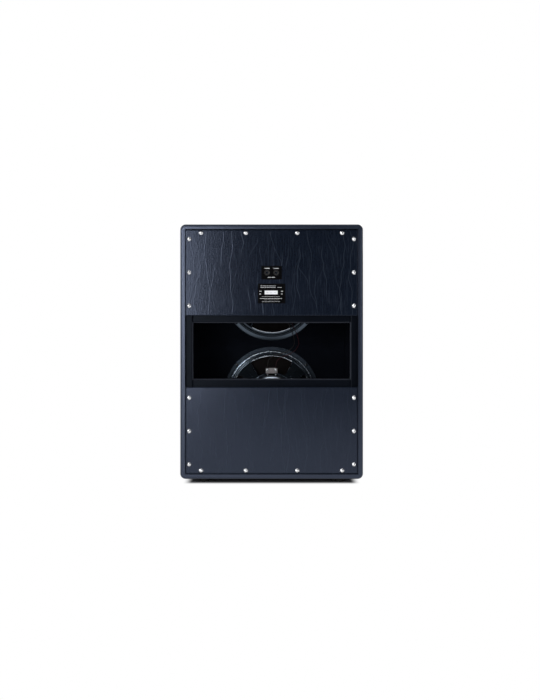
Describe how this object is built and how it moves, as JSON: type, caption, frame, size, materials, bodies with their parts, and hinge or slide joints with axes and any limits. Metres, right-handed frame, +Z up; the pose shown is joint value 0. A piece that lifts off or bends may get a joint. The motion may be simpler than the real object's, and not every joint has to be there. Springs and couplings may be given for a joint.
{
  "type": "guitar speaker cabinet",
  "caption": "Tall guitar speaker cabinet with a slanted upper front, a partly open back, twelve-inch speakers, recessed side handles and jack sockets.",
  "frame": {"origin": "centre of the box that bounds the cabinet, on the floor under its feet", "axes": "+Z up, -Y is the front with the grille cloth, +Y is the open back, +X is right seen from the front"},
  "size_m": [0.54, 0.345, 0.764],
  "materials": {
    "vinyl": "embossed, satin",
    "faced_panel": "board faced with embossed covering",
    "plywood": "plywood, sprayed black inside",
    "black_wood": "painted black, matt",
    "nickel": "bright nickel plate",
    "zinc_steel": "zinc plated",
    "basket_paint": "grey paint over pressed steel",
    "ferrite": "sintered, dull",
    "cone_paper": "felted paper pulp",
    "spider_cloth": "resin treated cloth",
    "coil_copper": "enamelled winding",
    "strip_fibre": "vulcanised fibre",
    "tinsel": "braided",
    "gasket_fibre": "pressed fibre",
    "grille_cloth": "woven, coarse",
    "piping": "smooth bead",
    "handle_plastic": "moulded, fine grain",
    "rubber": "matt",
    "black_steel": "satin black",
    "jack_plastic": "moulded",
    "label_film": "satin film",
    "red_sleeve": "soft sleeve",
    "pale_sleeve": "soft sleeve"
  },
  "bodies": {
    "cabinet": {"cabinet_covering": "vinyl", "left_side_board": "plywood", "right_side_board": "plywood", "top_board": "plywood", "bottom_board": "plywood", "upper_back_panel": "faced_panel", "lower_back_panel": "faced_panel", "left_rear_batten": "black_wood", "right_rear_batten": "black_wood", "rear_end_battens": "black_wood", "upper_cross_rail": "black_wood", "lower_cross_rail": "black_wood", "lower_baffle": "black_wood", "upper_baffle": "black_wood", "baffle_cleats": "black_wood", "grille_cloth": "grille_cloth", "grille_piping": "piping", "back_panel_screws": "nickel", "back_panel_cup_washers": "nickel", "rubber_feet": "rubber", "foot_screws": "zinc_steel", "left_handle": "handle_plastic", "right_handle": "handle_plastic", "handle_screws": "black_steel", "jack_plate": "black_steel", "jack_plate_screws": "black_steel", "left_jack_socket": "jack_plastic", "right_jack_socket": "jack_plastic", "jack_nuts": "jack_plastic", "rating_label": "label_film", "lower_red_wire": "red_sleeve", "lower_pale_wire": "pale_sleeve", "upper_red_wire": "red_sleeve", "upper_pale_wire": "pale_sleeve", "speaker_gaskets": "gasket_fibre", "speaker_screws": "black_steel", "lower_basket": "basket_paint", "lower_top_plate": "zinc_steel", "lower_magnet": "ferrite", "lower_yoke": "zinc_steel", "lower_surround": "cone_paper", "lower_spider": "spider_cloth", "lower_terminal_strip": "strip_fibre", "lower_tinsel_leads": "tinsel", "upper_basket": "basket_paint", "upper_top_plate": "zinc_steel", "upper_magnet": "ferrite", "upper_yoke": "zinc_steel", "upper_surround": "cone_paper", "upper_spider": "spider_cloth", "upper_terminal_strip": "strip_fibre", "upper_tinsel_leads": "tinsel"},
    "lower_cone_assembly": {"lower_cone": "cone_paper", "lower_dust_cap": "cone_paper", "lower_voice_coil": "coil_copper"},
    "upper_cone_assembly": {"upper_cone": "cone_paper", "upper_dust_cap": "cone_paper", "upper_voice_coil": "coil_copper"}
  },
  "joints": [
    {"name": "lower_cone_travel", "type": "slide", "parent": "cabinet", "child": "lower_cone_assembly", "axis": [0, -1, 0], "range_m": [-0.004, 0.004], "stiffness_N_per_m": 7000, "deforming": ["lower_surround", "lower_spider", "lower_tinsel_leads"]},
    {"name": "upper_cone_travel", "type": "slide", "parent": "cabinet", "child": "upper_cone_assembly", "axis": [0, -0.9848, 0.1736], "range_m": [-0.004, 0.004], "stiffness_N_per_m": 7000, "deforming": ["upper_surround", "upper_spider", "upper_tinsel_leads"]}
  ]
}
